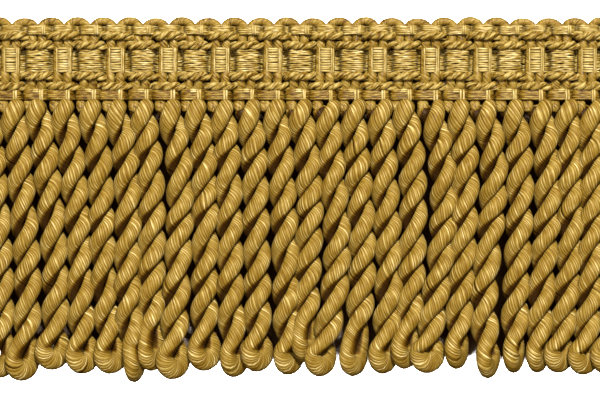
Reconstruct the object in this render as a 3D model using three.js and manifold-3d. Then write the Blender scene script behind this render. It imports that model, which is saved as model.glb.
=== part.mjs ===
// Bullion fringe trim: a narrow woven heading with a scalloped top edge, and a skirt of cords that are each one
// yarn folded at the bottom into a loop and twisted round itself.
// It lies face up. X runs along the trim, Y from the skirt to the top of the heading, and Z is up from the surface.
// While it is built, Y = 0 is the lower edge of the heading. All lengths are millimetres.
import * as THREE from "three";
import { mergeVertices } from "three/addons/utils/BufferGeometryUtils.js";
import Module from "manifold-3d";

const wasm = await Module();
wasm.setup();

// Driving dimensions
const COLUMN_PITCH = 5.5; // one column of the heading carries one cord
const COLUMNS = 25; // plain and satin columns by turns, the first and the last satin
const HALF_LENGTH = (COLUMNS * COLUMN_PITCH) / 2;
const HEADING_TOP = 17.2; // crest of the scallops
const GAP = 0.3; // between pieces that touch

// Layers of the heading, from the surface up: warps that pass under, the weft, and warps that pass over
const UNDER_HIGH = 0.9;
const WEFT_LOW = UNDER_HIGH + GAP;
const WEFT_HIGH = 2.5;
const OVER_LOW = WEFT_HIGH + GAP;
const BAND_HIGH = 3.7;
const CORD_HIGH = 4.0;

// The weft: one yarn in hairpins, two legs to a column, with an arch from each column to the next
const WEFT_HALF = 0.8;
const LEG_OFFSET = 0.95;
const HAIRPIN_LOW = -0.4; // lowest edge of each hairpin
const HAIRPIN_STEPS = 4;
const ARCH_STEPS = 6;

// The warps: flat bands of fine yarn, and twisted cords. A satin warp shows on satin columns, the others between.
const WARPS = [
  { name: "warp_band_top", centre: 14.35, width: 0.9, band: true, satin: false },
  { name: "gimp_cord_1", centre: 12.85, width: 1.5, band: false, satin: false },
  { name: "gimp_cord_2", centre: 11.0, width: 1.55, band: false, satin: true },
  { name: "warp_band_middle", centre: 7.97, width: 3.86, band: true, satin: true },
  { name: "gimp_cord_3", centre: 4.93, width: 1.55, band: false, satin: true },
  { name: "gimp_cord_4", centre: 2.62, width: 1.55, band: false, satin: false },
  { name: "warp_band_bottom", centre: 0.86, width: 1.3, band: true, satin: false },
];
const PLATEAU_HALF = 1.75; // a warp is level this far to each side of a column's middle
const CROWN_HALF = 0.9; // and a twisted cord is at its highest this far
const SHOULDER_DROP = 0.5;

// The strip that the cords are fused to
const STRIP_TOP = HAIRPIN_LOW - GAP;
const STRIP_BOTTOM = STRIP_TOP - 1.2;
const STRIP_HIGH = 2.6;

// A cord: two strands of three sides, a ridge outwards and a flat side to the cord's axis
const ROOT_Y = STRIP_TOP - 0.2;
const STRAND_RADIUS = 1.25; // from the cord's axis to the strand's
const RIDGE = 1.37; // from the strand's axis out to its ridge
const FLAT = 1.1; // from the strand's axis in to its flat side
const STRAND_HALF = 1.65;
const AXIS_Z = STRAND_RADIUS + RIDGE;
const TURNS = 4;
const STEPS_PER_TURN = 8;
const EASE_FROM = 0.93; // share of the cord after which the twist dies out
const ROOT_PHASE = { plain: -25, satin: 5 }; // degrees, by kind of column
const UPPER_SHARE = 0.3; // shares of the cord at which the table below states its drift
const LOWER_SHARE = 0.65;

// The loop at a cord's end, an ellipse that is thickest at its lowest point
const LOOP_WIDE = 1.75;
const LOOP_DEEP = 2.9;
const LOOP_SWELL = 0.5; // how much further out the ridge is at the lowest point
const LOOP_STEPS = 6;

// One row a cord, from left to right: how far it drifts to the right of its column at the upper and lower marks and
// at its loop, how far its lowest point is below the heading, and by how many degrees its loop is turned away.
const CORDS = [
  { upper: 1.9, lower: 3.4, end: 2.3, drop: 58.3, turn: 35 },
  { upper: 2.0, lower: 3.4, end: 2.2, drop: 59.1, turn: 15 },
  { upper: 2.0, lower: 3.6, end: 3.0, drop: 57.0, turn: 12 },
  { upper: 2.3, lower: 3.5, end: 3.7, drop: 57.6, turn: 15 },
  { upper: 2.2, lower: 3.4, end: 4.0, drop: 57.6, turn: 20 },
  { upper: 2.3, lower: 3.2, end: 3.8, drop: 59.3, turn: 38 },
  { upper: 2.2, lower: 3.1, end: 2.9, drop: 56.8, turn: 42 },
  { upper: 2.0, lower: 2.9, end: 2.6, drop: 58.7, turn: 25 },
  { upper: 1.9, lower: 2.7, end: 2.4, drop: 57.0, turn: 25 },
  { upper: 1.9, lower: 2.6, end: 2.5, drop: 58.3, turn: 25 },
  { upper: 1.8, lower: 2.4, end: 2.3, drop: 57.2, turn: 28 },
  { upper: 1.8, lower: 2.5, end: 2.1, drop: 57.8, turn: 34 },
  { upper: 1.9, lower: 2.4, end: 1.6, drop: 56.8, turn: 52 },
  { upper: 1.9, lower: 2.2, end: 0.8, drop: 58.1, turn: 32 },
  { upper: 1.9, lower: 2.2, end: 0.7, drop: 58.1, turn: 20 },
  { upper: 2.0, lower: 2.3, end: 0.4, drop: 57.6, turn: 40 },
  { upper: 2.0, lower: 2.2, end: -0.1, drop: 56.6, turn: 48 },
  { upper: 2.4, lower: 2.0, end: -0.4, drop: 57.4, turn: 20 },
  { upper: 2.6, lower: 1.9, end: -0.3, drop: 56.8, turn: 38 },
  { upper: 2.7, lower: 1.9, end: 0.9, drop: 58.5, turn: 32 },
  { upper: 2.6, lower: 2.1, end: 0.7, drop: 57.6, turn: 34 },
  { upper: 2.5, lower: 2.0, end: 0.2, drop: 57.4, turn: 34 },
  { upper: 2.4, lower: 1.9, end: -0.6, drop: 57.4, turn: 32 },
  { upper: 2.3, lower: 1.7, end: -1.2, drop: 57.8, turn: 32 },
  { upper: 2.2, lower: 1.6, end: -1.0, drop: 57.2, turn: 30 },
];

const GOLD = { skirt: 0xc9a24b, weft: 0xbf9846, cord: 0xcfa94f, satin: 0xd8b25c };

const columnX = (column) => (column + 0.5) * COLUMN_PITCH - HALF_LENGTH;
const isSatin = (column) => column % 2 === 0;

// A closed skin over a row of rings that have the same number of corners. Each side is split along its shorter
// diagonal, which keeps the sides of a twisted strand from folding in.
function loft(rings) {
  const corners = rings[0].length;
  const points = rings.flat();
  const faces = [];
  for (let r = 0; r + 1 < rings.length; r++) {
    for (let c = 0; c < corners; c++) {
      const near = [r * corners + c, r * corners + ((c + 1) % corners)];
      const far = near.map((index) => index + corners);
      const straight = points[near[0]].distanceTo(points[far[1]]) < points[near[1]].distanceTo(points[far[0]]);
      if (straight) faces.push(near[0], near[1], far[1], near[0], far[1], far[0]);
      else faces.push(near[0], near[1], far[0], near[1], far[1], far[0]);
    }
  }
  const last = (rings.length - 1) * corners;
  for (let c = 1; c + 1 < corners; c++) faces.push(0, c + 1, c, last, last + c, last + c + 1);
  const geometry = new THREE.BufferGeometry().setFromPoints(points);
  geometry.setIndex(faces);
  return faceOutwards(geometry);
}

// Turns every face round when the skin encloses a negative volume.
function faceOutwards(geometry) {
  const at = geometry.getAttribute("position");
  const index = geometry.getIndex().array;
  const [a, b, c] = [new THREE.Vector3(), new THREE.Vector3(), new THREE.Vector3()];
  let volume = 0;
  for (let i = 0; i < index.length; i += 3) {
    a.fromBufferAttribute(at, index[i]);
    b.fromBufferAttribute(at, index[i + 1]);
    c.fromBufferAttribute(at, index[i + 2]);
    volume += a.dot(b.cross(c));
  }
  if (volume < 0) for (let i = 0; i < index.length; i += 3) [index[i], index[i + 1]] = [index[i + 1], index[i]];
  return geometry;
}

function toSolid(geometry) {
  const bare = new THREE.BufferGeometry().setAttribute("position", geometry.getAttribute("position"));
  bare.setIndex(geometry.getIndex());
  const merged = mergeVertices(bare);
  return new wasm.Manifold(
    new wasm.Mesh({
      numProp: 3,
      vertProperties: new Float32Array(merged.getAttribute("position").array),
      triVerts: new Uint32Array(merged.getIndex().array),
    }),
  );
}

function toGeometry(solid) {
  const { vertProperties, triVerts } = solid.getMesh();
  const geometry = new THREE.BufferGeometry();
  geometry.setAttribute("position", new THREE.BufferAttribute(vertProperties, 3));
  geometry.setIndex(new THREE.BufferAttribute(triVerts, 1));
  return geometry;
}

// A warp runs along X and passes over the columns of one kind and under those of the other.
function warpGeometry({ centre, width, band, satin }) {
  const ring = (x, low, high) =>
    [
      [centre - width / 2, low],
      [centre + width / 2, low],
      [centre + width / 2, high],
      [centre - width / 2, high],
    ].map(([y, z]) => new THREE.Vector3(x, y, z));
  const rings = [];
  for (let column = 0; column < COLUMNS; column++) {
    const x = columnX(column);
    const over = isSatin(column) === satin;
    const low = over ? OVER_LOW : 0;
    const high = over ? BAND_HIGH : UNDER_HIGH;
    const shoulder = over && !band ? CORD_HIGH - SHOULDER_DROP : high;
    if (column === 0) rings.push(ring(-HALF_LENGTH, low, shoulder));
    rings.push(ring(x - PLATEAU_HALF, low, shoulder));
    if (over && !band) {
      rings.push(ring(x - CROWN_HALF, low, CORD_HIGH));
      rings.push(ring(x + CROWN_HALF, low, CORD_HIGH));
    }
    rings.push(ring(x + PLATEAU_HALF, low, shoulder));
    if (column === COLUMNS - 1) rings.push(ring(HALF_LENGTH, low, shoulder));
  }
  return loft(rings);
}

// The middle line of the weft, as points with the direction across it.
function weftLine() {
  const archRadius = COLUMN_PITCH / 2 - LEG_OFFSET;
  const archY = HEADING_TOP - WEFT_HALF - archRadius;
  const hairpinY = HAIRPIN_LOW + WEFT_HALF + LEG_OFFSET;
  const bend = (x, y, radius, from, to, steps) => {
    for (let step = 0; step <= steps; step++) {
      const angle = THREE.MathUtils.degToRad(from + ((to - from) * step) / steps);
      const across = new THREE.Vector2(Math.cos(angle), Math.sin(angle));
      const side = to > from ? 1 : -1;
      line.push({ at: new THREE.Vector2(x, y).addScaledVector(across, radius), across: across.multiplyScalar(side) });
    }
  };
  const line = [{ at: new THREE.Vector2(columnX(0) - LEG_OFFSET, archY), across: new THREE.Vector2(-1, 0) }];
  for (let column = 0; column < COLUMNS; column++) {
    const x = columnX(column);
    bend(x, hairpinY, LEG_OFFSET, 180, 360, HAIRPIN_STEPS);
    if (column < COLUMNS - 1) bend(x + COLUMN_PITCH / 2, archY, archRadius, 180, 0, ARCH_STEPS);
    else line.push({ at: new THREE.Vector2(x + LEG_OFFSET, archY), across: new THREE.Vector2(1, 0) });
  }
  return line;
}

function weftGeometry() {
  return loft(
    weftLine().map(({ at, across }) => {
      const outer = at.clone().addScaledVector(across, WEFT_HALF);
      const inner = at.clone().addScaledVector(across, -WEFT_HALF);
      return [
        new THREE.Vector3(outer.x, outer.y, WEFT_LOW),
        new THREE.Vector3(inner.x, inner.y, WEFT_LOW),
        new THREE.Vector3(inner.x, inner.y, WEFT_HIGH),
        new THREE.Vector3(outer.x, outer.y, WEFT_HIGH),
      ];
    }),
  );
}

// How far a cord has drifted at a share of its length: the cubic through its four stated places.
function driftAt(cord, share) {
  const marks = [0, UPPER_SHARE, LOWER_SHARE, 1];
  const drifts = [0, cord.upper, cord.lower, cord.end];
  return marks.reduce((sum, mark, i) => {
    const weight = marks.reduce((w, other, j) => (i === j ? w : (w * (share - other)) / (mark - other)), 1);
    return sum + weight * drifts[i];
  }, 0);
}

// The share of its whole twist that a cord has made: even at first, and dying out over the last stretch.
function twistAt(share) {
  const rate = 2 / (1 + EASE_FROM);
  if (share < EASE_FROM) return rate * share;
  return 1 - (rate * (1 - share) ** 2) / (2 * (1 - EASE_FROM));
}

// One corner ring of a strand: its middle, the way out from the cord's axis, and the way along its flat side.
function strandRing(middle, out, side, swell = 0) {
  const flat = middle.clone().addScaledVector(out, -FLAT);
  return [
    middle.clone().addScaledVector(out, RIDGE + swell),
    flat.clone().addScaledVector(side, STRAND_HALF),
    flat.clone().addScaledVector(side, -STRAND_HALF),
  ];
}

// A cord: down one strand, round the loop and up the other.
function cordGeometry(cord, column) {
  const loopY = -cord.drop + LOOP_DEEP + RIDGE + LOOP_SWELL;
  const startPhase = isSatin(column) ? ROOT_PHASE.satin : ROOT_PHASE.plain;
  const endPhase = 360 * TURNS - cord.turn;
  const steps = Math.round(TURNS * STEPS_PER_TURN);
  const place = (share) =>
    new THREE.Vector3(columnX(column) + driftAt(cord, share), THREE.MathUtils.lerp(ROOT_Y, loopY, share), AXIS_Z);
  const strand = (halfTurn) => {
    const rings = [];
    for (let step = 0; step <= steps; step++) {
      const share = step / steps;
      const degrees = THREE.MathUtils.lerp(startPhase, endPhase, twistAt(share)) + halfTurn;
      const angle = THREE.MathUtils.degToRad(degrees);
      const out = new THREE.Vector3(Math.cos(angle), 0, Math.sin(angle));
      const side = new THREE.Vector3(-Math.sin(angle), 0, Math.cos(angle)).multiplyScalar(halfTurn ? -1 : 1);
      const widening = THREE.MathUtils.smoothstep(share, EASE_FROM, 1);
      const radius = THREE.MathUtils.lerp(STRAND_RADIUS, LOOP_WIDE, widening);
      rings.push(strandRing(place(share).addScaledVector(out, radius), out, side));
    }
    return rings;
  };
  const turned = THREE.MathUtils.degToRad(endPhase);
  const right = new THREE.Vector3(Math.cos(turned), 0, Math.sin(turned));
  const side = new THREE.Vector3(-Math.sin(turned), 0, Math.cos(turned));
  const loop = [];
  for (let step = 1; step < LOOP_STEPS; step++) {
    const angle = (Math.PI * step) / LOOP_STEPS;
    const [wide, deep] = [Math.cos(angle), Math.sin(angle)];
    const middle = place(1).addScaledVector(right, LOOP_WIDE * wide);
    middle.y -= LOOP_DEEP * deep;
    const out = right.clone().multiplyScalar(wide / LOOP_WIDE);
    out.y -= deep / LOOP_DEEP;
    loop.push(strandRing(middle, out.normalize(), side, LOOP_SWELL * deep));
  }
  return loft([...strand(0), ...loop, ...strand(180).reverse()]);
}

// All the cords, fused at their roots to one narrow strip under the edge of the heading.
function skirtGeometry() {
  const strip = new THREE.BoxGeometry(2 * HALF_LENGTH, STRIP_TOP - STRIP_BOTTOM, STRIP_HIGH);
  strip.translate(0, (STRIP_TOP + STRIP_BOTTOM) / 2, STRIP_HIGH / 2);
  const solid = CORDS.reduce((sum, cord, column) => sum.add(toSolid(cordGeometry(cord, column))), toSolid(strip));
  return toGeometry(solid);
}

function yarn(color, roughness) {
  return new THREE.MeshStandardMaterial({ color, roughness, metalness: 0 });
}

function addMesh(group, name, geometry, material) {
  geometry.computeVertexNormals();
  const mesh = new THREE.Mesh(geometry, material);
  mesh.name = name;
  group.add(mesh);
}

const trim = new THREE.Group();
addMesh(trim, "bullion_skirt", skirtGeometry(), yarn(GOLD.skirt, 0.5));
addMesh(trim, "heading_weft", weftGeometry(), yarn(GOLD.weft, 0.6));
for (const warp of WARPS) {
  addMesh(trim, warp.name, warpGeometry(warp), warp.band ? yarn(GOLD.satin, 0.4) : yarn(GOLD.cord, 0.6));
}

// The origin goes to the middle of the footprint, on the surface.
const box = new THREE.Box3().setFromObject(trim);
const middle = box.getCenter(new THREE.Vector3());
trim.position.set(-middle.x, -middle.y, -box.min.z);

export default trim;
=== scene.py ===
"""Dresses the bullion fringe trim: wrapped and twisted cords below a woven heading with a scalloped edge.

Lengths in this script are millimetres, as in the part, until a mesh is made. X runs along the trim, Y from
the skirt to the top of the heading, Z up, and Y = 0 is the lower edge of the heading.
"""

import math

import bpy
import numpy as np
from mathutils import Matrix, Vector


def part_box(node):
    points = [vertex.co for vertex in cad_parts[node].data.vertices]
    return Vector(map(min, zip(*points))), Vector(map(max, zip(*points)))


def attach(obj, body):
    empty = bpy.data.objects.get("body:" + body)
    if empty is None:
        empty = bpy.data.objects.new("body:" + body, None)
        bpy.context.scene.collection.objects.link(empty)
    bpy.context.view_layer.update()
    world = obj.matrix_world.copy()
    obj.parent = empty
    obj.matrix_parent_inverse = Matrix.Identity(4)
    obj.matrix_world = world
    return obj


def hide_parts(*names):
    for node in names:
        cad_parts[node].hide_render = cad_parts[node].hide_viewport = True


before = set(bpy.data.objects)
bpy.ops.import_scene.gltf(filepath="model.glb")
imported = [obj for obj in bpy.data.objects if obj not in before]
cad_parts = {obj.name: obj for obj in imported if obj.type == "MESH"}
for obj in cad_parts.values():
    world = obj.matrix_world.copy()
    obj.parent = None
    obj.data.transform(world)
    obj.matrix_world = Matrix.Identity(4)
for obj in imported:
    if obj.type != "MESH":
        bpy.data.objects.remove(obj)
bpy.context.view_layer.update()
SEED = 11
random = np.random.default_rng(SEED)

# Sizes of the part
COLUMN_PITCH = 5.5
COLUMNS = 25
HALF_LENGTH = COLUMNS * COLUMN_PITCH / 2
HEADING_TOP = 17.2
METRES = 0.001
UP = np.array([0.0, 0.0, 1.0])
# Where the part's own zero lies in the frame
SHIFT = np.array(
    [
        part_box("gimp_cord_1")[0][0] / METRES + HALF_LENGTH,
        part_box("heading_weft")[1][1] / METRES - HEADING_TOP,
        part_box("gimp_cord_1")[0][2] / METRES,
    ]
)

# The bullion cords: two strands of wrapped yarn round each other
STRAND_RADIUS = 1.28  # from a cord's axis to a strand's
OUT_HALF = 1.75
IN_HALF = 1.12
SIDE_HALF = 1.63
ROOT_SWELL = 1.12  # width of the first lobe, as a share of the rest
CORD_GAP = 0.08  # between a cord and the floor
AXIS_Z = STRAND_RADIUS + OUT_HALF + CORD_GAP
ROOT_Y = -0.5
ROOT_ASIDE = 0.45
BACK_ROOT_Y = -1.6
FIRST_LOBES = 0.93  # spacing of the first two lobes, as a share of the others
LOBES = 6  # how many lobes come after the second
LOBE_EASE = 0.07  # the upper lobes are shorter than the mean by that share, and the lower ones longer
LOOP_WIDE = 1.85
LOOP_DEEP = 2.3
LOOP_OUT = 2.7
LOOP_IN = 1.75
LOOP_SIDE = 1.53
LOOP_START = 0.3  # share of the loop's own thickness that the yarn has where the loop begins
LOOP_CORNER = 0.85  # below 1 the loop is fuller than an ellipse
LOOP_SWELL = 0.7  # below 1 the yarn takes the loop's thickness sooner
THREAD_GAP = 0.4
THREAD_ROWS = 2
THREAD_STARTS = 12  # threads side by side, which makes them climb round the yarn
THREAD_RELIEF = 0.018
THREAD_ROUGH = 0.35
CORD_AROUND = 14
CORD_SQUARE = (0.95, 0.75)
CORD_CAP = 1.3
STRAND_POINTS = 700
LOOP_POINTS = 120
FLOOR_CLEARANCE = 0.02
MARKS = (4.0, 16.3, 35.4, 54.5)  # how far below the heading the table states a cord's drift
DRIFT_START = 2.0  # how far above the first mark the drift starts to change

# How far below the heading something about a cord starts to change, or has changed, and over what length
ROOT_ASIDE_GONE, ROOT_ASIDE_OVER = 10.0, 8.0
ROOT_SWELL_GONE, ROOT_SWELL_OVER = 9.0, 5.0
LIFT_FROM, LIFT_OVER = 22.0, 26.0
END_OVER = 6.0

# How uneven a cord is: the height of each wave, and the length in which it goes through one radian
SWAY_HIGH, SWAY_LONG = 0.12, 6.5
HEAVE_HIGH, HEAVE_LONG = 0.25, 7.0
SLOW_TWIST_HIGH, SLOW_TWIST_LONG = 0.2, 4.3
QUICK_TWIST_HIGH, QUICK_TWIST_LONG = 0.12, 2.6
THICKNESS_HIGH, THICKNESS_LONG = 0.04, 31  # this length is counted in points of the path

# One row a cord, from left to right: its drift to the right of its column at the four marks, where its
# second and last lobes are below the heading, its lowest point, the angle by which its loop is turned away,
# and how far its lower end lies above the surface.
CORD_COLUMNS = ("root", "upper", "lower", "end", "second", "last", "drop", "turn", "lift")
CORD_ROWS = (
    (0.7, 2.0, 3.2, 3.1, 9.6, 49.0, 58.5, 35, 0.0),
    (0.8, 2.0, 3.5, 2.2, 9.6, 49.5, 59.1, 38, 0.3),
    (0.5, 2.2, 3.8, 2.8, 8.6, 48.4, 56.8, 32, 0.0),
    (0.5, 2.1, 3.4, 4.2, 9.6, 49.5, 57.6, 35, 0.3),
    (0.6, 2.1, 2.9, 4.6, 9.6, 49.5, 57.6, 35, 0.0),
    (0.6, 2.2, 2.5, 3.9, 9.6, 50.5, 59.3, 72, 1.3),
    (0.5, 1.6, 2.0, 2.0, 9.2, 46.3, 57.0, 50, 0.0),
    (0.7, 2.4, 2.0, 0.9, 10.1, 50.5, 58.7, 35, 1.2),
    (0.6, 2.1, 2.1, 2.1, 9.2, 48.4, 57.0, 35, 0.0),
    (0.8, 1.4, 1.9, 2.9, 9.6, 50.5, 58.3, 50, 0.5),
    (0.5, 1.6, 2.0, 2.0, 10.1, 49.5, 57.2, 40, 0.0),
    (0.7, 1.8, 2.4, 3.4, 9.6, 50.5, 57.8, 45, 0.6),
    (0.4, 1.7, 1.7, 0.6, 9.6, 45.3, 55.1, 60, 0.0),
    (0.6, 1.4, 2.1, -1.7, 10.7, 50.6, 58.1, 40, 1.2),
    (0.5, 1.2, 2.0, -0.1, 9.6, 46.3, 58.1, 50, 0.0),
    (0.5, 1.3, 2.0, 0.7, 10.3, 49.5, 57.6, 45, 0.5),
    (0.3, 1.5, 1.5, -0.6, 8.6, 47.4, 56.6, 50, 0.0),
    (0.8, 2.5, 1.6, -1.1, 11.0, 49.9, 57.4, 25, 1.0),
    (0.6, 1.6, 1.0, -0.5, 9.2, 48.8, 56.6, 60, 0.0),
    (0.7, 2.0, 0.5, 0.9, 10.7, 51.0, 58.5, 60, 0.9),
    (0.9, 2.1, 1.5, 0.7, 9.6, 49.5, 57.4, 65, 0.0),
    (1.4, 2.3, 1.5, 0.0, 10.1, 50.0, 57.4, 60, 0.4),
    (1.2, 1.6, 1.2, -1.1, 9.6, 49.9, 57.4, 40, 0.0),
    (0.7, 0.3, 0.3, -1.6, 10.7, 50.3, 57.8, 35, 0.3),
    (1.0, 0.5, 0.3, -2.4, 9.6, 49.5, 57.6, 35, 0.0),
)

# The heading's weft
LEG_OFFSET = 1.04
LEG_SLANT = -0.4
LEG_WANDER = 0.05
LEG_POINTS = 48
HAIRPIN_POINTS = 10
ARCH_POINTS = 20
WEFT_SMOOTHINGS = 3
HUMPS = {True: (12.2, 3.6), False: (11.6, 4.6)}  # where the legs rise on a satin column, and on a plain one
HUMP_RISE = 0.55
HUMP_HALF = 0.9
WEFT_HALF = 0.96
WEFT_THICK = 0.8
WEFT_Z = 1.9
WEFT_AROUND = 14
WEFT_GAP = 0.42
WEFT_CAP = 0.4
ARCH_LEG_OFFSET = 0.65
ARCH_RADIUS = COLUMN_PITCH / 2 - ARCH_LEG_OFFSET
ARCH_RISE = 1.5
ARCH_HALF = 0.86
ARCH_Z = 0.9
ARCH_PAST = 0.1  # how far an even arch stands past the heading's stated top
ARCH_Y = HEADING_TOP + ARCH_PAST - ARCH_HALF - ARCH_RISE
ARCH_FROM, ARCH_OVER = 14.0, 1.2  # where the yarn takes the arch's thickness
CREST_UNEVEN = 0.1
SPREAD_FROM, SPREAD_OVER = 12.6, 1.8  # where the legs part
GATHER_TO, GATHER_OVER = 2.4, 2.2  # where they come together for the hairpin
HAIRPIN_X = -1.8  # from a column's middle to its hairpin's
HAIRPIN_RADIUS = 0.3
HAIRPIN_Y = -2.0
HAIRPIN_HALF = 0.85
HAIRPIN_THIN_TO, HAIRPIN_THIN_OVER = 1.8, 1.8  # where the yarn takes the hairpin's thickness
HAIRPIN_RISE = 1.0
HAIRPIN_RISE_FROM = -0.4

# Twisted cords along the heading: height above its lower edge, and whether it shows on the satin columns
GIMP_ROWS = {
    "gimp_cord_1": (13.2, False),
    "gimp_cord_2": (11.2, True),
    "gimp_cord_3": (4.75, True),
    "gimp_cord_4": (2.6, False),
}
GIMP_PLY_RADIUS = 0.47
GIMP_PLY_HALF = 0.56
GIMP_TWIST = 4.3
GIMP_OVER = 3.35
GIMP_UNDER = 1.0
GIMP_OVER_HALF = 2.95
GIMP_SHARP = 2.2
GIMP_POINTS = 2400
GIMP_PLY_IN, GIMP_PLY_SIDE = 0.85, 1.12  # a ply's other half sizes, as shares of its outward one
GIMP_SWAY, GIMP_SWAY_TURN = 0.06, 0.9  # how far a cord sways, and radians a millimetre
GIMP_UNEVEN, GIMP_UNEVEN_TURN = 0.35, 0.37  # the same for its twist, in radians
GIMP_AROUND = 8
GIMP_GAP = 0.36
GIMP_CAP = 0.3

# Groups of fine threads side by side in the three bands, in the order in which they are made: the heights
# that they lie between, how many there are, whether they show on the satin columns, how high they pass over
# them, how much the group is bowed up along its middle, how far a thread wanders, half the length that shows
# and how far its middle lies to the right of its column's, and half a thread's thickness.
BAND_COLUMNS = (
    "band",
    "low",
    "high",
    "count",
    "satin",
    "over",
    "crown",
    "wander",
    "half_wide",
    "aside",
    "half",
)
BAND_ROWS = (
    ("top", 14.0, 15.4, 4, False, 3.25, 0.05, 0.03, 2.0, 0.0, 0.2),
    ("top", 13.45, 15.3, 5, True, 3.3, 0.1, 0.03, 2.3, 0.3, 0.2),
    ("middle", 5.6, 10.3, 11, True, 3.1, 0.5, 0.06, 2.35, 0.0, 0.2),
    ("bottom", -0.2, 1.7, 5, False, 3.35, 0.1, 0.02, 2.8, -0.7, 0.23),
    ("bottom", -0.2, 1.95, 6, True, 3.3, 0.1, 0.02, 2.5, -0.5, 0.23),
)
BAND_UNDER = 0.4
BAND_SHARP = 5.0
BAND_POINTS = 1400
BAND_WAVES = ((1.0, 1.7), (1.0, 0.9), (0.6, 3.1))  # share of the wander, and radians a millimetre
BAND_HEAVE, BAND_HEAVE_TURN = 0.5, 2.3  # the same for its wave up and down
BAND_STARTS = 6.28  # radians, within which each wave starts
FINE_SIDE = 1.15  # a fine thread's width, as a share of its thickness
FINE_AROUND = 6
FINE_GAP = 0.5
FINE_CAP = 0.2

# The bright threads on the plain columns, and those that tie the cords and the top band
RUNG_COUNT = 10
RUNG_POINTS = 13
RAIL_POINTS = 16
STITCH_POINTS = 12
BAR_POINTS = 8
RUNG_LOW, RUNG_HIGH = 5.5, 10.7
RUNG_ASIDE = -0.15
RUNG_REACH = 1.1
RUNG_Z = 3.05
RUNG_DIP = 0.6
RUNG_LEVEL = 6  # the higher, the longer a thread stays level before its end dips
RUNG_HALF = 0.22
RUNG_UNEVEN = 0.05
RUNG_TILT = 0.04
RAIL_OFFSETS = (-1.3, 1.3, 1.62)
RAIL_LOW, RAIL_HIGH = 5.3, 10.8
RAIL_Z = 2.95
RAIL_HALF = 0.12
STITCH_HALF = 0.2
STITCH_Z = 3.85
STITCH_DIP = 0.7
STITCH_LEVEL = 6
STITCH_SWAY = 0.05
# Sideways place from the column's middle, lower end and upper end
LOWER_STITCHES = ((0.65, -0.7, 2.0), (1.15, -0.7, 2.0))
UPPER_STITCHES = ((1.15, 13.3, 15.4), (1.6, 13.3, 15.4))
BAR_HEIGHTS = (1.85, 1.45)
BAR_LEFT, BAR_RIGHT = -1.2, 0.5
BAR_Z = 3.75
BAR_DIP = 0.3
BAR_LEVEL = 4


def column_x(column):
    return (column + 0.5) * COLUMN_PITCH - HALF_LENGTH


def is_satin(column):
    return column % 2 == 0


def smooth(share):
    """0 to 1 with level ends."""
    share = np.clip(share, 0, 1)
    return share * share * (3 - 2 * share)


def through(marks, values, at):
    """The one smooth curve through a value at each mark, level above its start and past the last mark."""
    at = np.clip(at, marks[0] - DRIFT_START, marks[-1])
    total = np.zeros_like(at)
    for i, mark in enumerate(marks):
        weight = np.ones_like(at)
        for j, other in enumerate(marks):
            if i != j:
                weight = weight * (at - other) / (mark - other)
        total += weight * values[i]
    return total


def unit(vectors):
    return vectors / np.maximum(np.linalg.norm(vectors, axis=-1, keepdims=True), 1e-9)


# Round a yarn's section, from its inner side and back to it: how deep the painted shade is, over the inner
# side and one flank
FLANK_TURNS = (0.0, 0.19, 0.26, 0.86, 0.93, 1.0)
PAINTED_FLANK_SHADES = (1.0, 1.0, 0.0, 0.0, 1.0, 1.0)
LEAST_END = 0.02  # how wide a closed end stays, as a share of the yarn


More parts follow.
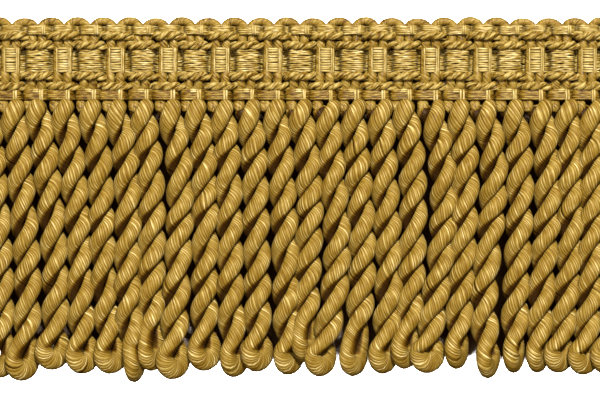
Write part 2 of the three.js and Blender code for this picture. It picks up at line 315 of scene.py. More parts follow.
class Yarn:
    """A skin round a path. Its rows follow the threads that wrap it, so they climb round it as a screw does.

    out is the outward direction. halves is how far the skin reaches outward, inward and to each side, each
    one number or one for each point. around is how many points a row has. gap is the spacing of the
    threads, with that many rows to each, and starts is how many threads lie side by side, below 0 where they
    climb the other way. relief is how far a thread stands out, and rough how unevenly the threads lie. cap
    is the length of each rounded end. square below 1 makes the section fuller at its outer and inner
    corners. The last argument says how deep the painted shade on its inner side is, with one flank of it
    where it is positive and the other where it is negative.
    """

    def __init__(
        self,
        points,
        out,
        halves,
        around,
        gap,
        rows=1,
        starts=0,
        relief=0.0,
        rough=0.0,
        cap=0.5,
        square=(1.0, 1.0),
        painted_shade=0.0,
    ):
        points = np.asarray(points, float)
        length = np.concatenate([[0], np.cumsum(np.linalg.norm(np.diff(points, axis=0), axis=1))])
        tangent = unit(np.gradient(points, axis=0))
        out = np.broadcast_to(out, points.shape)
        out = unit(out - (out * tangent).sum(axis=1, keepdims=True) * tangent)
        side = np.cross(tangent, out)
        climb = starts * rows
        row = np.arange(-abs(climb), math.ceil(length[-1] / gap * rows) + abs(climb) + 1)
        turn = np.arange(around) / around
        thread = row // rows + abs(starts)
        nudge = random.normal(0, 1, thread.max() + 2)
        lift = random.normal(0, 1, thread.max() + 2)
        s = (row[:, None] + climb * turn[None, :]) * gap / rows + rough * gap * 0.5 * nudge[thread][:, None]
        s = np.clip(s, 0, length[-1])
        angle = 2 * math.pi * turn[None, :] + math.pi + 0 * s

        def along(values):
            values = np.broadcast_to(values, length.shape)
            return np.interp(s, length, values)

        def vector(values):
            return np.stack([np.interp(s, length, values[:, i]) for i in range(3)], axis=-1)

        cos, sin = np.cos(angle), np.sin(angle)
        # Painted shade: the inner side and one flank are darkened, the other flank where the value is
        # negative
        flank = np.interp(turn, FLANK_TURNS, PAINTED_FLANK_SHADES)
        shaded = along(painted_shade)
        self.painted_shade = np.where(shaded > 0, shaded * flank, -shaded * flank[::-1]).ravel()
        full = np.where(cos > 0, square[0], square[1])
        cos = np.sign(cos) * np.abs(cos) ** full
        sin = np.sign(sin) * np.abs(sin) ** full
        ridge = relief * (np.cos(2 * math.pi * row / rows) + 2 * rough * lift[thread])[:, None]
        near_end = np.minimum(s, length[-1] - s) / cap
        close = np.sqrt(np.clip(1 - (1 - np.clip(near_end, 0, 1)) ** 2, LEAST_END**2, 1))
        radial = (np.where(cos > 0, along(halves[0]), along(halves[1])) + ridge) * cos * close
        lateral = (along(halves[2]) + ridge) * sin * close
        place = vector(points) + vector(out) * radial[..., None] + vector(side) * lateral[..., None]
        self.points = place.reshape(-1, 3)
        self._join(s, row, rows, climb, length[-1], vector(points).reshape(-1, 3))

    def _join(self, s, row, rows, climb, length, middles):
        """Faces between the rows, and their place on the map, with U counted in threads."""
        around = s.shape[1]
        k, j = np.meshgrid(np.arange(len(row) - 1), np.arange(around), indexing="ij")
        k, j = k.ravel(), j.ravel()
        wrap = (j + 1) // around
        k_next, j_next = k + climb * wrap, (j + 1) % around
        ok = (k_next >= 0) & (k_next + 1 < len(row))
        k, j, k_next, j_next = k[ok], j[ok], k_next[ok], j_next[ok]
        corner = np.stack([s[k, j], s[k + 1, j], s[k_next + 1, j_next], s[k_next, j_next]], axis=1)
        inside = (corner.max(axis=1) > 0) & (corner.min(axis=1) < length)
        k, j, k_next, j_next = k[inside], j[inside], k_next[inside], j_next[inside]
        here = k * around + j
        beside = k_next * around + j_next
        self.faces = np.stack([here, here + around, beside + around, beside], axis=1)
        if self._faces_in(middles):
            self.faces = self.faces[:, ::-1]
            order = (3, 2, 1, 0)
        else:
            order = (0, 1, 2, 3)
        phase = (row[k] / rows, row[k + 1] / rows)
        u = np.stack([phase[0], phase[1], phase[1], phase[0]], axis=1)[:, order]
        v = np.stack([j, j, j + 1, j + 1], axis=1)[:, order] / around
        self.uv = np.stack([u, v], axis=-1)

    def _faces_in(self, middles):
        """Whether the faces point at the yarn's middle, judged on one face half way along."""
        face = self.faces[len(self.faces) // 2]
        a, b, c, d = self.points[face]
        normal = np.cross(c - a, d - b)
        return float(normal @ (self.points[face].mean(axis=0) - middles[face].mean(axis=0))) < 0


def add_piece(name, yarns, material, nodes):
    """One object of several yarns, which rides on the trim and stands for those CAD nodes."""
    points = np.concatenate([yarn.points for yarn in yarns])
    starts = np.cumsum([0] + [len(yarn.points) for yarn in yarns[:-1]])
    faces = np.concatenate([yarn.faces + start for yarn, start in zip(yarns, starts)])
    uv = np.concatenate([yarn.uv for yarn in yarns])
    painted_shade = np.concatenate([yarn.painted_shade for yarn in yarns])
    which = np.concatenate([np.full(len(yarn.faces), i) for i, yarn in enumerate(yarns)])
    mesh = bpy.data.meshes.new(name)
    mesh.vertices.add(len(points))
    mesh.vertices.foreach_set("co", ((points + SHIFT) * METRES).ravel())
    mesh.loops.add(faces.size)
    mesh.loops.foreach_set("vertex_index", faces.ravel().astype(np.int32))
    mesh.polygons.add(len(faces))
    mesh.polygons.foreach_set("loop_start", np.arange(0, faces.size, 4, dtype=np.int32))
    mesh.polygons.foreach_set("loop_total", np.full(len(faces), 4, dtype=np.int32))
    mesh.uv_layers.new(name="Thread").data.foreach_set("uv", uv.reshape(-1).astype(np.float32))
    numbers = mesh.attributes.new("yarn", "FLOAT", "FACE")
    numbers.data.foreach_set("value", which.astype(np.float32))
    # Painted shade on each point, by which the material darkens the colour
    shades = mesh.attributes.new("painted_shade", "FLOAT", "POINT")
    shades.data.foreach_set("value", painted_shade.astype(np.float32))
    mesh.update(calc_edges=True)
    mesh.validate()
    mesh.shade_smooth()
    mesh.materials.append(material)
    piece = bpy.data.objects.new(name, mesh)
    bpy.context.scene.collection.objects.link(piece)
    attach(piece, "root")
    if nodes:
        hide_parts(*nodes)
    return piece


# Materials


class Nodes:
    """Short calls that build a node tree."""

    def __init__(self, name):
        self.material = bpy.data.materials.new(name)
        self.material.use_nodes = True
        self.tree = self.material.node_tree
        self.shader = self.tree.nodes["Principled BSDF"]

    def put(self, socket, value):
        if isinstance(value, bpy.types.NodeSocket):
            self.tree.links.new(value, socket)
        elif value is not None:
            socket.default_value = value

    def math(self, operation, a, b=None):
        node = self.tree.nodes.new("ShaderNodeMath")
        node.operation = operation
        self.put(node.inputs[0], a)
        self.put(node.inputs[1], b)
        return node.outputs[0]

    def add_up(self, terms, total=None):
        """The sum of each value times its weight, on top of a total where one is given."""
        for value, weight in terms:
            term = self.math("MULTIPLY", value, weight)
            total = term if total is None else self.math("ADD", total, term)
        return total

    def vector(self, x, y, z=0.0):
        node = self.tree.nodes.new("ShaderNodeCombineXYZ")
        for socket, value in zip(node.inputs, (x, y, z)):
            self.put(socket, value)
        return node.outputs[0]

    def noise(self, vector, scale=1.0, detail=2.0):
        node = self.tree.nodes.new("ShaderNodeTexNoise")
        self.put(node.inputs["Vector"], vector)
        node.inputs["Scale"].default_value = scale
        node.inputs["Detail"].default_value = detail
        return node.outputs["Fac"]

    def white(self, value):
        node = self.tree.nodes.new("ShaderNodeTexWhiteNoise")
        node.noise_dimensions = "1D"
        self.put(node.inputs["W"], value)
        return node.outputs["Value"]

    def ramp(self, factor, stops):
        node = self.tree.nodes.new("ShaderNodeValToRGB")
        ramp = node.color_ramp
        while len(ramp.elements) < len(stops):
            ramp.elements.new(0.5)
        for element, (position, color) in zip(ramp.elements, stops):
            element.position = position
            element.color = (*color, 1)
        self.put(node.inputs["Fac"], factor)
        return node.outputs["Color"]

    def thread(self):
        node = self.tree.nodes.new("ShaderNodeUVMap")
        node.uv_map = "Thread"
        split = self.tree.nodes.new("ShaderNodeSeparateXYZ")
        self.tree.links.new(node.outputs["UV"], split.inputs[0])
        return split.outputs["X"], split.outputs["Y"]

    def place(self):
        return self.tree.nodes.new("ShaderNodeTexCoord").outputs["Object"]

    def attribute(self, name):
        node = self.tree.nodes.new("ShaderNodeAttribute")
        node.attribute_name = name
        return node.outputs["Fac"]

    def bump(self, height, distance):
        node = self.tree.nodes.new("ShaderNodeBump")
        node.inputs["Strength"].default_value = 1.0
        node.inputs["Distance"].default_value = distance
        self.put(node.inputs["Height"], height)
        self.tree.links.new(node.outputs["Normal"], self.shader.inputs["Normal"])

    def finish(self, roughness, specular):
        self.shader.inputs["Roughness"].default_value = roughness
        self.shader.inputs["Specular IOR Level"].default_value = specular
        self.shader.inputs["Specular Tint"].default_value = SPECULAR


DEEP = (0.022, 0.008, 0.0005)
SHADE = (0.105, 0.05, 0.003)
GOLD = (0.19, 0.118, 0.016)
BRIGHT = (0.33, 0.237, 0.072)
PALE = (0.54, 0.44, 0.22)
SPECULAR = (1.0, 0.92, 0.7, 1)

# Where each colour lies on a material's scale from dark to light
WRAP_STOPS = ((0.06, DEEP), (0.38, SHADE), (0.61, GOLD), (0.72, BRIGHT), (0.82, PALE))
WEFT_STOPS = ((0.3, DEEP), (0.45, SHADE), (0.62, GOLD), (0.9, BRIGHT))
GIMP_STOPS = ((0.28, DEEP), (0.42, SHADE), (0.55, GOLD), (0.72, BRIGHT))
SATIN_STOPS = ((0.3, SHADE), (0.5, GOLD), (0.68, BRIGHT), (0.85, PALE))
BRIGHT_STOPS = ((0.25, GOLD), (0.6, BRIGHT), (0.9, PALE))
# Painted shade: the bottom band's thread is the satin thread made darker, for the shadow it lies in
SHADED_EDGE_STOPS = ((0.3, DEEP), (0.5, SHADE), (0.68, GOLD), (0.95, BRIGHT))

# How much each thing lightens or darkens the wrapped yarn
# Painted light along each thread's crest
PAINTED_RIDGE_LIGHT = 0.11
THREAD_LIGHT = 0.06
FIBRE_LIGHT = 0.76
CLOUD_LIGHT = 0.26
# Painted shade in the gaps between the threads
PAINTED_GAP_SHADE = 0.22
# How far the painted shade on a strand's inner side and one flank darkens it
PAINTED_SHADE_DARK = 0.8
# The same for yarns whose fibres run along them
STREAK_LIGHT = 1.3
STREAK_DARK = 0.35
SLOW_LIGHT = 0.25

# How fine each pattern is, along a thread's U and across it, along its V
DRIFT_ACROSS, DRIFT_SCALE, DRIFT_REACH = 3.0, 0.35, 0.9
FIBRE_ALONG, FIBRE_ACROSS = 4.0, 2.5
PATCH_ALONG, PATCH_ACROSS, PATCH_PLACE = 0.3, 4.0, 3.1
STREAK_ALONG = 0.35
SLOW_ALONG, SLOW_ACROSS = 0.15, 2.0
YARN_STEP = 7.3  # sets one yarn's pattern apart from the next
WEFT_STREAKS, GIMP_STREAKS, SATIN_STREAKS = 16.0, 9.0, 4.0  # how fine the streaks are round a yarn
WEFT_TWIST = 1.6
WRAP_CLOUD, STREAK_CLOUD = 420.0, 500.0  # clouds a metre

WRAP_ROUGHNESS, WRAP_SPECULAR = 0.5, 0.12
YARN_ROUGHNESS, SATIN_ROUGHNESS, EDGE_ROUGHNESS = 0.45, 0.35, 0.4
FIBRE_SPECULAR = 0.2

# Depth of the bumps, in metres
WRAP_BUMP = 0.00007
WRAP_HEIGHT = 0.7  # share of it that the wrapped yarn's ridges have, and its fibres too
WEFT_BUMP = 0.00012
GIMP_BUMP = 0.00015
SATIN_BUMP = 0.00002


def wrapped_material(name, stops):
    """Fine thread wound round a yarn, one thread to each unit of the map's U."""
    n = Nodes(name)
    u, v = n.thread()
    drift = n.noise(n.vector(u, n.math("MULTIPLY", v, DRIFT_ACROSS)), DRIFT_SCALE)
    phase = n.math("ADD", u, n.math("MULTIPLY", drift, DRIFT_REACH))
    wave = n.math("SINE", n.math("MULTIPLY", phase, 2 * math.pi))
    ridge = n.math("ADD", n.math("MULTIPLY", wave, 0.5), 0.5)
    each = n.white(n.math("FLOOR", phase))
    along = n.math("MULTIPLY", phase, FIBRE_ALONG)
    fibre = n.noise(n.vector(along, n.math("MULTIPLY", v, FIBRE_ACROSS)), detail=3.0)
    cloud = n.noise(n.place(), WRAP_CLOUD)
    # ridge brings a painted light along each thread's crest
    lights = (ridge, PAINTED_RIDGE_LIGHT), (each, THREAD_LIGHT), (fibre, FIBRE_LIGHT), (cloud, CLOUD_LIGHT)
    tone = n.add_up(lights)
    along = n.math("MULTIPLY", phase, PATCH_ALONG)
    patch = n.noise(n.vector(along, n.math("MULTIPLY", v, PATCH_ACROSS), PATCH_PLACE), detail=1.0)
    # Painted shade in the gaps between the threads, in patches
    gaps = n.math("MULTIPLY", n.math("SUBTRACT", 1.0, ridge), n.math("MULTIPLY", patch, PAINTED_GAP_SHADE))
    tone = n.math("SUBTRACT", tone, gaps)
    # Painted shade: darker on each strand's inner side and one flank
    tone = n.math("SUBTRACT", tone, n.math("MULTIPLY", n.attribute("painted_shade"), PAINTED_SHADE_DARK))
    n.put(n.shader.inputs["Base Color"], n.ramp(tone, stops))
    n.bump(n.add_up(((ridge, WRAP_HEIGHT), (fibre, WRAP_HEIGHT))), WRAP_BUMP)
    n.finish(WRAP_ROUGHNESS, WRAP_SPECULAR)
    return n.material


def fibre_material(name, stops, streaks, bump, roughness, twist=0.0):
    """Fibres that run along a yarn, or wind round it with a twist: streaks drawn out along the map's U."""
    n = Nodes(name)
    u, v = n.thread()
    which = n.math("MULTIPLY", n.attribute("yarn"), YARN_STEP)
    along = n.math("MULTIPLY", u, STREAK_ALONG)
    across = n.math("ADD", n.math("MULTIPLY", v, streaks), n.math("MULTIPLY", u, twist))
    fine = n.noise(n.vector(along, across, which), detail=3.0)
    along = n.math("MULTIPLY", u, SLOW_ALONG)
    slow = n.noise(n.vector(along, n.math("MULTIPLY", v, SLOW_ACROSS), which), detail=1.0)
    cloud = n.noise(n.place(), STREAK_CLOUD)
    tone = n.math("SUBTRACT", n.math("MULTIPLY", fine, STREAK_LIGHT), STREAK_DARK)
    tone = n.add_up(((slow, SLOW_LIGHT), (cloud, CLOUD_LIGHT)), tone)
    n.put(n.shader.inputs["Base Color"], n.ramp(tone, stops))
    n.bump(fine, bump)
    n.finish(roughness, FIBRE_SPECULAR)
    return n.material


# The skirt


def cord_path(cord, column):
    """The way of a cord's yarn down one strand, round the loop and up the other.

    For each point it gives the place, the outward direction, the share of the loop's thickness that the yarn
    has, how wide it is beside the usual, and 1 on the way down or -1 on the way up.
    """
    loop_drop = cord["drop"] - LOOP_DEEP - LOOP_OUT
    loop_long = loop_drop - cord["last"]
    spacing = (cord["last"] - cord["second"]) / LOBES
    beat = random.uniform(0, 2 * math.pi, 4)

    def axis(drop):
        """The middle between the two strands."""
        x = column_x(column) + through(MARKS, [cord[c] for c in ("root", "upper", "lower", "end")], drop)
        aside = ROOT_ASIDE * smooth((ROOT_ASIDE_GONE - drop) / ROOT_ASIDE_OVER)
        x = x + SWAY_HIGH * np.sin(drop / SWAY_LONG + beat[0]) - aside
        rise = cord["lift"] * smooth((drop - LIFT_FROM) / LIFT_OVER)
        rise = rise + HEAVE_HIGH * np.sin(drop / HEAVE_LONG + beat[1]) ** 2
        return np.stack([x, -drop, AXIS_Z + rise], axis=1)

    def phase(drop):
        """How far the strands have turned round each other."""
        share = (drop - cord["second"]) / (cord["last"] - cord["second"])
        lobe = 1 + LOBES * (share + LOBE_EASE * share * (1 - share))
        upper = 1 + (drop - cord["second"]) / (spacing * FIRST_LOBES)
        lobe = np.where(drop < cord["second"], upper, lobe)
        uneven = SLOW_TWIST_HIGH * np.sin(drop / SLOW_TWIST_LONG + beat[2])
        uneven = uneven + QUICK_TWIST_HIGH * np.sin(drop / QUICK_TWIST_LONG + beat[3])
        uneven = uneven * smooth(drop / END_OVER) * smooth((cord["last"] - drop) / END_OVER)
        turned = math.pi / 2 + math.pi * lobe + uneven
        # Below the last lobe the twist slows down, and none is left at the loop
        left = math.radians(90 - cord["turn"])
        rate = (1 - LOBE_EASE) * math.pi / spacing
        power = max(rate * loop_long / left, 1.0)
        rest = np.clip((drop - cord["last"]) / loop_long, 0, 1)
        ended = math.pi / 2 + math.pi * (1 + LOBES) + left * (1 - (1 - rest) ** power)
        return np.where(drop > cord["last"], ended, turned)

    def strand(first, half_turn):
        """Places, outward directions and shares of the loop's thickness, from a drop down to the loop."""
        drop = np.linspace(first, loop_drop, STRAND_POINTS)
        angle = phase(drop) + half_turn
        out = np.stack([np.cos(angle), 0 * angle, np.sin(angle)], axis=1)
        widening = smooth((drop - cord["last"]) / loop_long)
        radius = STRAND_RADIUS + (LOOP_WIDE - STRAND_RADIUS) * widening
        return axis(drop) + out * radius[:, None], out, LOOP_START * widening

    # The strand that is in front at the last lobe ends on the loop's left
    right = phase(np.array([loop_drop]))[0] + math.pi * (1 + LOBES % 2)
    right_way = np.array([math.cos(right), 0, math.sin(right)])
    if right_way[0] < 0:
        right_way = -right_way
    end = axis(np.array([loop_drop]))[0]
    angle = np.linspace(0, math.pi, LOOP_POINTS)[1:-1]
    across = np.sign(np.cos(angle)) * np.abs(np.cos(angle)) ** LOOP_CORNER * LOOP_WIDE
    middle = end + np.outer(across, right_way)
    middle[:, 1] -= np.sin(angle) ** LOOP_CORNER * LOOP_DEEP
    away = np.outer(np.cos(angle) / LOOP_WIDE, right_way)
    away[:, 1] -= np.sin(angle) / LOOP_DEEP
    loop_bend = LOOP_START + (1 - LOOP_START) * np.sin(angle) ** LOOP_SWELL
    down = strand(-ROOT_Y, 0)
    up = strand(-BACK_ROOT_Y, math.pi)
    down_is_left = down[1][-1] @ right_way <= 0
    if down_is_left:
        middle, away = middle[::-1], away[::-1]
    points = np.concatenate([down[0], middle, up[0][::-1]])
    outs = np.concatenate([down[1], unit(away), up[1][::-1]])
    bend = np.concatenate([down[2], loop_bend, up[2][::-1]])
    count = np.arange(len(points))
    swell = 1 + (ROOT_SWELL - 1) * smooth((ROOT_SWELL_GONE + points[:, 1]) / ROOT_SWELL_OVER)
    swell = swell * (1 + THICKNESS_HIGH * np.sin(count / THICKNESS_LONG + beat[0]))
    flank = np.where(count < len(points) / 2, 1, -1)
    return points, outs, bend, swell, flank


def cord_yarn(cord, column):
    points, outs, bend, swell, flank = cord_path(cord, column)
    halves = (
        OUT_HALF + (LOOP_OUT - OUT_HALF) * bend,
        IN_HALF + (LOOP_IN - IN_HALF) * bend,
        (SIDE_HALF + (LOOP_SIDE - SIDE_HALF) * bend) * swell,
    )
    # Painted shade on the flanks, only where the other strand is beside them, above the loop
    shaded = 1 - smooth(bend / (2 * LOOP_START))
    yarn = Yarn(
        points,
        outs,
        halves,
        CORD_AROUND,
        THREAD_GAP,
        THREAD_ROWS,
        -THREAD_STARTS,
        relief=THREAD_RELIEF,
        rough=THREAD_ROUGH,
        cap=CORD_CAP,
        square=CORD_SQUARE,
        painted_shade=flank * shaded,
    )
    # A loop that would sink into the floor is lifted onto it
    lowest = yarn.points[:, 2].min()
    loop_share = smooth((-yarn.points[:, 1] - cord["last"] + END_OVER) / END_OVER)
    yarn.points[:, 2] += max(FLOOR_CLEARANCE - lowest, 0) * loop_share
    return yarn


def make_skirt():
    material = wrapped_material("bullion_yarn", WRAP_STOPS)
    cords = [dict(zip(CORD_COLUMNS, row)) for row in CORD_ROWS]
    return [
        add_piece(f"cord_{i + 1:02d}", [cord_yarn(cord, i)], material, ["bullion_skirt"])
        for i, cord in enumerate(cords)
    ]


# The heading


def weave_height(x, over, under, satin, sharp, half_wide, aside=0.0):
    """The height of a warp that passes over one kind of column, that far each way, and under the rest."""
    swing = np.cos(math.pi * (x - aside - column_x(0 if satin else 1)) / COLUMN_PITCH)
    share = 0.5 + 0.5 * np.tanh(sharp * (swing - math.cos(math.pi * half_wide / COLUMN_PITCH)))
    return under + (over - under) * share


def weft_legs(column):
    """The weft's way down one column, round its hairpin below the lowest band and up again."""
    x = column_x(column)
    # The third draw isn't used, and keeps the later ones as they are
    left_wander, right_wander, _ = random.normal(0, LEG_WANDER, 3)
    y = np.linspace(ARCH_Y, HAIRPIN_Y, LEG_POINTS)
    part = LEG_OFFSET + (ARCH_LEG_OFFSET - LEG_OFFSET) * smooth((y - SPREAD_FROM) / SPREAD_OVER)
    slant = LEG_SLANT * (1 - y / ARCH_Y)
    gather = smooth((GATHER_TO - y) / GATHER_OVER)
    left_x = x + (slant - part) * (1 - gather) + (HAIRPIN_X - HAIRPIN_RADIUS) * gather
    right_x = x + (slant + part) * (1 - gather) + (HAIRPIN_X + HAIRPIN_RADIUS) * gather
    hump = sum(np.exp(-(((y - middle) / HUMP_HALF) ** 2)) for middle in HUMPS[is_satin(column)])
    z = WEFT_Z + HUMP_RISE * hump + HAIRPIN_RISE * smooth(HAIRPIN_RISE_FROM - y)
    left = np.stack([left_x + left_wander, y, z], axis=1)
    right = np.stack([right_x + right_wander, y, z], axis=1)[::-1]
    turn = np.linspace(math.pi, 2 * math.pi, HAIRPIN_POINTS)[1:-1]
    hairpin_x = x + HAIRPIN_X + HAIRPIN_RADIUS * np.cos(turn)
    hairpin_y = HAIRPIN_Y + HAIRPIN_RADIUS * np.sin(turn)
    hairpin = np.stack([hairpin_x, hairpin_y, WEFT_Z + HAIRPIN_RISE + 0 * turn], axis=1)
    return [left, hairpin, right]


def weft_arch(column):
    """The scallop from the top of one column to the next."""
    turn = np.linspace(math.pi, 0, ARCH_POINTS)[1:-1]
    rise = ARCH_RISE + random.normal(0, CREST_UNEVEN)
    x = column_x(column) + COLUMN_PITCH / 2 + ARCH_RADIUS * np.cos(turn)
    return np.stack([x, ARCH_Y + rise * np.sin(turn), WEFT_Z + (ARCH_Z - WEFT_Z) * np.sin(turn)], axis=1)


def make_weft(material):
    """One soft yarn that goes down and up each column, with a scallop from each column to the next."""
    points = []
    for column in range(COLUMNS):
        points += weft_legs(column)
        if column < COLUMNS - 1:
            points.append(weft_arch(column))
    points = np.concatenate(points)
    for _ in range(WEFT_SMOOTHINGS):
        points[1:-1] = (points[:-2] + 2 * points[1:-1] + points[2:]) / 4
    y = points[:, 1]
    half = WEFT_HALF + (ARCH_HALF - WEFT_HALF) * smooth((y - ARCH_FROM) / ARCH_OVER)
    half = half + (HAIRPIN_HALF - WEFT_HALF) * smooth((HAIRPIN_THIN_TO - y) / HAIRPIN_THIN_OVER)
    halves = (WEFT_THICK, WEFT_THICK, half)
    yarn = Yarn(points, UP, halves, WEFT_AROUND, WEFT_GAP, starts=1, cap=WEFT_CAP)
    return add_piece("weft", [yarn], material, ["heading_weft"])


def make_gimp(name, y, satin, material):
    """Two plies twisted round each other, over one column and under the next."""
    x = np.linspace(-HALF_LENGTH, HALF_LENGTH, GIMP_POINTS)
    z = weave_height(x, GIMP_OVER, GIMP_UNDER, satin, GIMP_SHARP, GIMP_OVER_HALF)
    middle = np.stack([x, y + GIMP_SWAY * np.sin(x * GIMP_SWAY_TURN + y), z], axis=1)
    tangent = unit(np.gradient(middle, axis=0))
    across = np.array([0.0, 1.0, 0.0])
    up = np.cross(tangent, across)
    turned = -2 * math.pi * x / GIMP_TWIST + y + GIMP_UNEVEN * np.sin(x * GIMP_UNEVEN_TURN + 2 * y)
    halves = (GIMP_PLY_HALF, GIMP_PLY_HALF * GIMP_PLY_IN, GIMP_PLY_HALF * GIMP_PLY_SIDE)
    yarns = []
    for half_turn in (0, math.pi):
        out = np.cos(turned + half_turn)[:, None] * across + np.sin(turned + half_turn)[:, None] * up
        yarns.append(Yarn(middle + out * GIMP_PLY_RADIUS, out, halves, GIMP_AROUND, GIMP_GAP, cap=GIMP_CAP))
    return add_piece(name.replace("gimp_cord", "gimp"), yarns, material, [name])


def fine_thread(x, y, z, half):
    points = np.stack(np.broadcast_arrays(x, y, z), axis=1)
    return Yarn(points, UP, (half, half, half * FINE_SIDE), FINE_AROUND, FINE_GAP, cap=FINE_CAP)


def band_threads(group):
    """Fine threads side by side along the heading, over one kind of column and under the other."""
    x = np.linspace(-HALF_LENGTH, HALF_LENGTH, BAND_POINTS)
    threads = []
    for i in range(group["count"]):
        share = (i + 0.5) / group["count"]
        over = group["over"] + group["crown"] * (1 - (2 * share - 1) ** 2)
        z = weave_height(x, over, BAND_UNDER, group["satin"], BAND_SHARP, group["half_wide"], group["aside"])
        beat = random.uniform(0, BAND_STARTS, 3)
        y = group["low"] + (group["high"] - group["low"]) * share
        waves = sum(high * np.sin(x * turn + start) for (high, turn), start in zip(BAND_WAVES, beat))
        y = y + group["wander"] * waves
        z = z + BAND_HEAVE * group["wander"] * np.sin(x * BAND_HEAVE_TURN + beat[1])
        threads.append(fine_thread(x, y, z, group["half"]))
    return threads


def make_bands(material, shaded_edge_material):
    threads = {"top": [], "middle": [], "bottom": []}
    for row in BAND_ROWS:
        group = dict(zip(BAND_COLUMNS, row))
        threads[group["band"]] += band_threads(group)
    return [
        add_piece("band_top", threads["top"], material, ["warp_band_top"]),
        add_piece("band_middle", threads["middle"], material, ["warp_band_middle"]),
        # The bottom band's darker thread is a painted shade
        add_piece("band_bottom", threads["bottom"], shaded_edge_material, ["warp_band_bottom"]),
    ]


def make_ladders(material):
    """The bright threads that show between the weft's legs on the plain columns."""
    threads = []
    for column in range(COLUMNS):
        if is_satin(column):
            continue
        x = column_x(column) + RUNG_ASIDE
        across = np.linspace(-RUNG_REACH, RUNG_REACH, RUNG_POINTS)
        for i in range(RUNG_COUNT):
            height = RUNG_LOW + (RUNG_HIGH - RUNG_LOW) * (i + 0.5) / RUNG_COUNT
            y = height + random.normal(0, RUNG_UNEVEN)
            z = RUNG_Z - RUNG_DIP * (across / RUNG_REACH) ** RUNG_LEVEL + random.normal(0, RUNG_UNEVEN)
            tilt = random.normal(0, RUNG_TILT)
            threads.append(fine_thread(x + across, y + tilt * across, z, RUNG_HALF))
        down = np.linspace(RAIL_LOW, RAIL_HIGH, RAIL_POINTS)
        threads += [fine_thread(x + offset, down, RAIL_Z, RAIL_HALF) for offset in RAIL_OFFSETS]
    return add_piece("ladders", threads, material, [])


def make_stitches(material):
    """Bright threads that tie the cords to the heading's lower edge, and the top band on satin columns."""
    threads = []
    for column in range(COLUMNS):
        x = column_x(column)
        stitches = LOWER_STITCHES
        if is_satin(column):
            stitches += UPPER_STITCHES
            across = np.linspace(BAR_LEFT, BAR_RIGHT, BAR_POINTS)
            bar_z = BAR_Z - BAR_DIP * (across / BAR_LEFT) ** BAR_LEVEL
            threads += [fine_thread(x + across, height, bar_z, STITCH_HALF) for height in BAR_HEIGHTS]
        for offset, low, high in stitches:
            y = np.linspace(low, high, STITCH_POINTS)
            from_middle = 2 * (y - low) / (high - low) - 1
            z = STITCH_Z - STITCH_DIP * from_middle**STITCH_LEVEL
            threads.append(fine_thread(x + offset + random.normal(0, STITCH_SWAY), y, z, STITCH_HALF))
    return add_piece("stitches", threads, material, [])


def make_heading():
    soft = fibre_material("weft_yarn", WEFT_STOPS, WEFT_STREAKS, WEFT_BUMP, YARN_ROUGHNESS, WEFT_TWIST)
    weft = make_weft(soft)
    twisted = fibre_material("gimp_yarn", GIMP_STOPS, GIMP_STREAKS, GIMP_BUMP, YARN_ROUGHNESS)
    gimps = [make_gimp(name, y, satin, twisted) for name, (y, satin) in GIMP_ROWS.items()]
    satin = fibre_material("satin_thread", SATIN_STOPS, SATIN_STREAKS, SATIN_BUMP, SATIN_ROUGHNESS)
    bright = fibre_material("bright_thread", BRIGHT_STOPS, SATIN_STREAKS, SATIN_BUMP, SATIN_ROUGHNESS)
    # A darker copy of the satin thread, a painted shade for the bottom band
    edge = fibre_material("shaded_edge_thread", SHADED_EDGE_STOPS, SATIN_STREAKS, SATIN_BUMP, EDGE_ROUGHNESS)
    pieces = make_bands(satin, edge) + [make_ladders(bright), make_stitches(bright)]
    return weft, gimps + pieces


# Floor, light and camera
FRAME_WIDE = 125.76  # across the photograph, at the depth of the trim's middle
VIEW_Y, VIEW_Z = -21.2, 2.5
LENS, SENSOR = 150.0, 36.0
CLIP_START, CLIP_END = 0.01, 10  # metres
FLOOR_HALF = 3.0  # metres
FLOOR_STOPS = ((0.0, (0.92, 0.92, 0.92)), (1.0, (0.96, 0.96, 0.96)))
FLOOR_GRAIN = 30.0
FLOOR_ROUGHNESS = 0.9
ENCLOSED_REACH = 6.0
ENCLOSED_STOPS = ((0.28, (0, 0, 0)), (0.46, (1, 1, 1)))
# Colour of the painted shade on the floor between the cords
PAINTED_FLOOR_SHADE = (0.075, 0.045, 0.025, 1)
SKY_COLOR = (1, 0.5, 0.2, 1)
SKY_STRENGTH = 0.1
# Azimuth from the trim's right end towards its heading, elevation, distance and width in metres, and watts
TRIM_LIGHTS = {
    "key": (80, 57, 1.2, 0.16, 39),
    "front": (100, 82, 1.2, 0.3, 5),
    "fill": (215, 60, 1.2, 0.6, 4),
}
FLOOR_LIGHTS = {f"wash_{azimuth}": (azimuth, 32, 1.5, 0.4, 170) for azimuth in (45, 135, 225, 315)}


def floor_material():
    """Pale, with painted shade, dark and brown, where little light gets in between the cords and has bounced
    off them.
    """
    n = Nodes("floor")
    pale = n.ramp(n.noise(n.place(), FLOOR_GRAIN, detail=3.0), FLOOR_STOPS)
    # Painted shade: ambient occlusion darkens the floor's colour where the cords close round it
    enclosed = n.tree.nodes.new("ShaderNodeAmbientOcclusion")
    enclosed.inputs["Distance"].default_value = ENCLOSED_REACH * METRES
    mix = n.tree.nodes.new("ShaderNodeMix")
    mix.data_type = "RGBA"
    n.put(mix.inputs["Factor"], n.ramp(enclosed.outputs["AO"], ENCLOSED_STOPS))
    mix.inputs["A"].default_value = PAINTED_FLOOR_SHADE
    n.put(mix.inputs["B"], pale)
    n.put(n.shader.inputs["Base Color"], mix.outputs["Result"])
    n.shader.inputs["Roughness"].default_value = FLOOR_ROUGHNESS
    return n.material


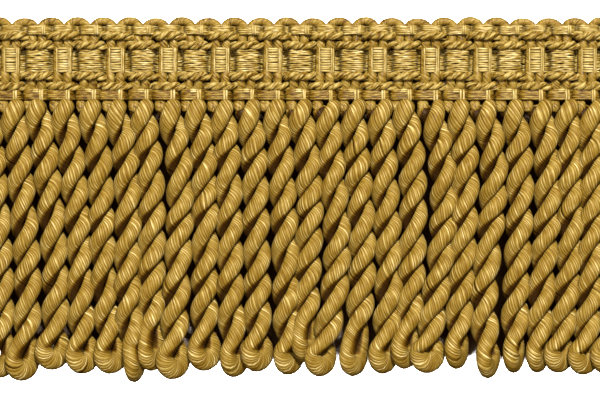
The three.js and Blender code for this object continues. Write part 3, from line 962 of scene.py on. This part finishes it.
def make_floor():
    mesh = bpy.data.meshes.new("floor")
    corners = [(x * FLOOR_HALF, y * FLOOR_HALF, 0) for x, y in ((-1, -1), (1, -1), (1, 1), (-1, 1))]
    mesh.from_pydata(corners, [], [(0, 1, 2, 3)])
    mesh.materials.append(floor_material())
    floor = bpy.data.objects.new("floor", mesh)
    bpy.context.scene.collection.objects.link(floor)
    # The floor is kept from bleaching the gold
    floor.visible_diffuse = floor.visible_glossy = False
    return floor


def make_sky():
    world = bpy.data.worlds.new("studio")
    world.use_nodes = True
    background = world.node_tree.nodes["Background"]
    background.inputs["Color"].default_value = SKY_COLOR
    background.inputs["Strength"].default_value = SKY_STRENGTH
    bpy.context.scene.world = world


def collect(name, pieces):
    group = bpy.data.collections.new(name)
    for piece in pieces:
        group.objects.link(piece)
    return group


def add_light(name, azimuth, elevation, distance, width, power, lit):
    """A round light that faces the trim and lights one collection only."""
    light = bpy.data.lights.new(name, "AREA")
    light.shape = "DISK"
    light.size = width
    light.energy = power
    lamp = bpy.data.objects.new(name, light)
    around, up = math.radians(azimuth), math.radians(elevation)
    level = distance * math.cos(up)
    lamp.location = (level * math.cos(around), level * math.sin(around), distance * math.sin(up))
    lamp.rotation_euler = (math.pi / 2 - up, 0, around + math.pi / 2)
    bpy.context.scene.collection.objects.link(lamp)
    lamp.light_linking.receiver_collection = lit


def make_camera():
    """Straight above the trim, with the heading at the top of the picture."""
    camera = bpy.data.cameras.new("camera")
    camera.lens, camera.sensor_width = LENS, SENSOR
    camera.clip_start, camera.clip_end = CLIP_START, CLIP_END
    seen = bpy.data.objects.new("camera", camera)
    distance = FRAME_WIDE * LENS / SENSOR
    seen.location = (SHIFT + [0.0, VIEW_Y, VIEW_Z + distance]) * METRES
    bpy.context.scene.collection.objects.link(seen)
    bpy.context.scene.camera = seen


make_camera()
make_sky()
floor = make_floor()
bpy.context.scene.view_settings.view_transform = "Standard"

cords = make_skirt()
weft, trimmings = make_heading()
ground = collect("ground", [floor])
trim = collect("trim", [weft] + cords + trimmings)
for name, settings in FLOOR_LIGHTS.items():
    add_light(name, *settings, ground)
for name, settings in TRIM_LIGHTS.items():
    add_light(name, *settings, trim)
